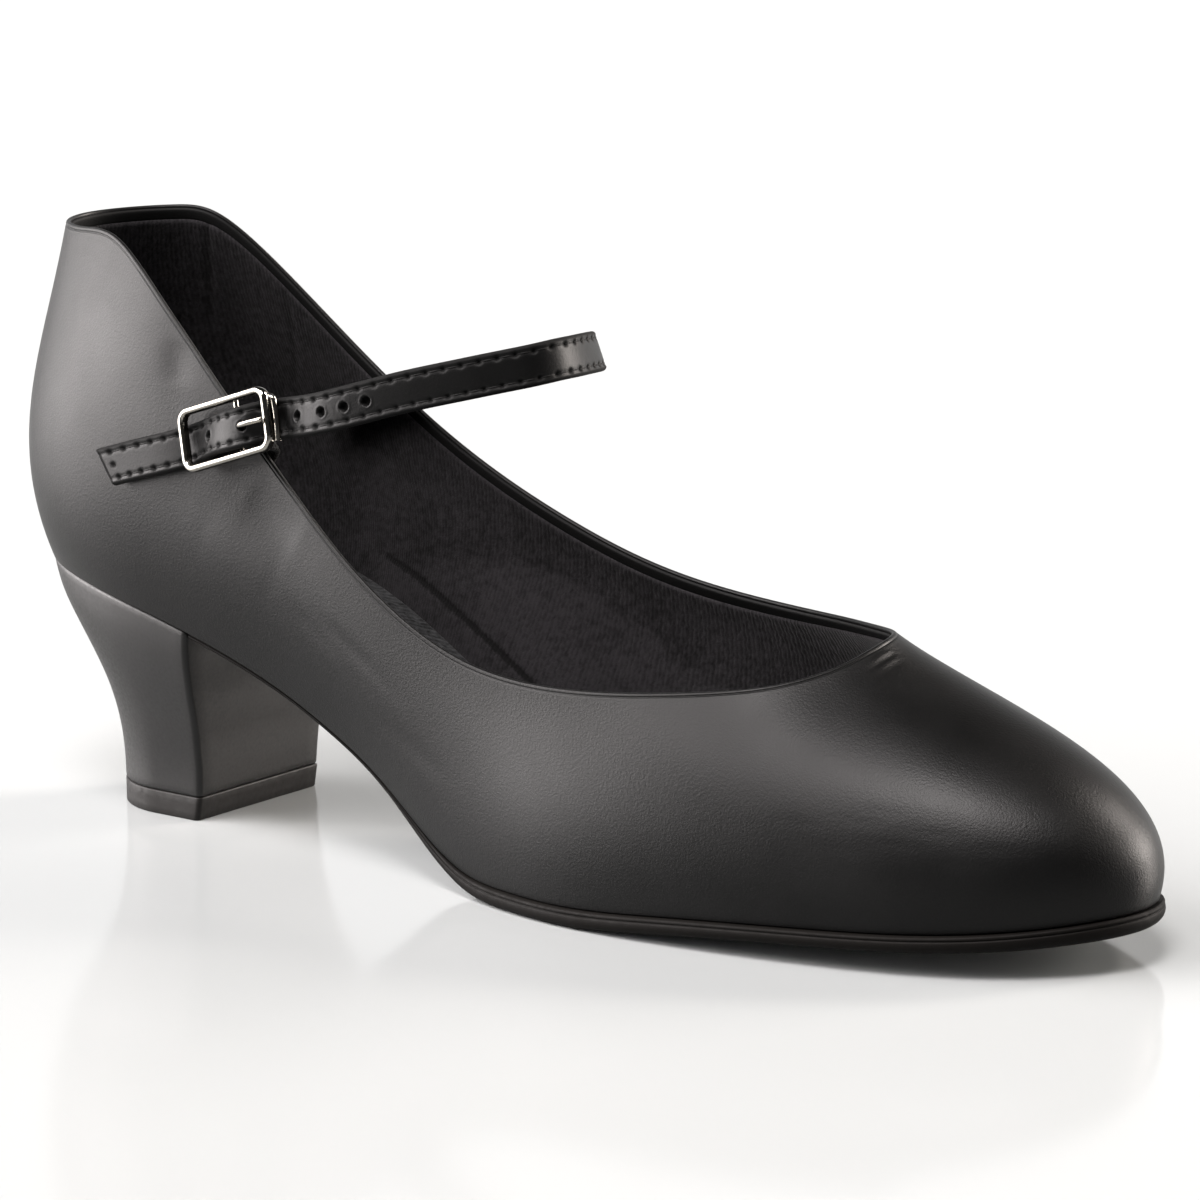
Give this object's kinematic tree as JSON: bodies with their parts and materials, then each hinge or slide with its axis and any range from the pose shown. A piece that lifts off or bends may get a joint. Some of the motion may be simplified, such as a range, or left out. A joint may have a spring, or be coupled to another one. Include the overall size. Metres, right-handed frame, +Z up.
{
  "type": "character shoe",
  "caption": "Right character shoe: black low-cut court with round toe, covered block heel, thin leather sole and a narrow instep strap fastened by an oblong buckle.",
  "frame": {"origin": "centre of the shoe's box in plan, on the floor it stands on", "axes": "+X heel to toe, +Y to the inner side of the foot, +Z up"},
  "size_m": [0.2416, 0.0722, 0.1091],
  "materials": {
    "upper_leather": "smooth matte black with a fine grain",
    "strap_leather": "smooth matte black, stitched along both edges",
    "heel_cover": "matte black cover",
    "lift_rubber": "matte black",
    "sole": "matte black with an inked edge",
    "lining": "soft brushed black",
    "elastic": "black woven elastic",
    "nickel": "bright nickel plate"
  },
  "bodies": {
    "root": {"upper": "upper_leather", "insole": "lining", "outsole": "sole", "heel": "heel_cover", "top_lift": "lift_rubber", "strap": "strap_leather", "buckle_anchor": "elastic", "buckle_frame": "nickel", "buckle_prong": "nickel"}
  },
  "joints": []
}
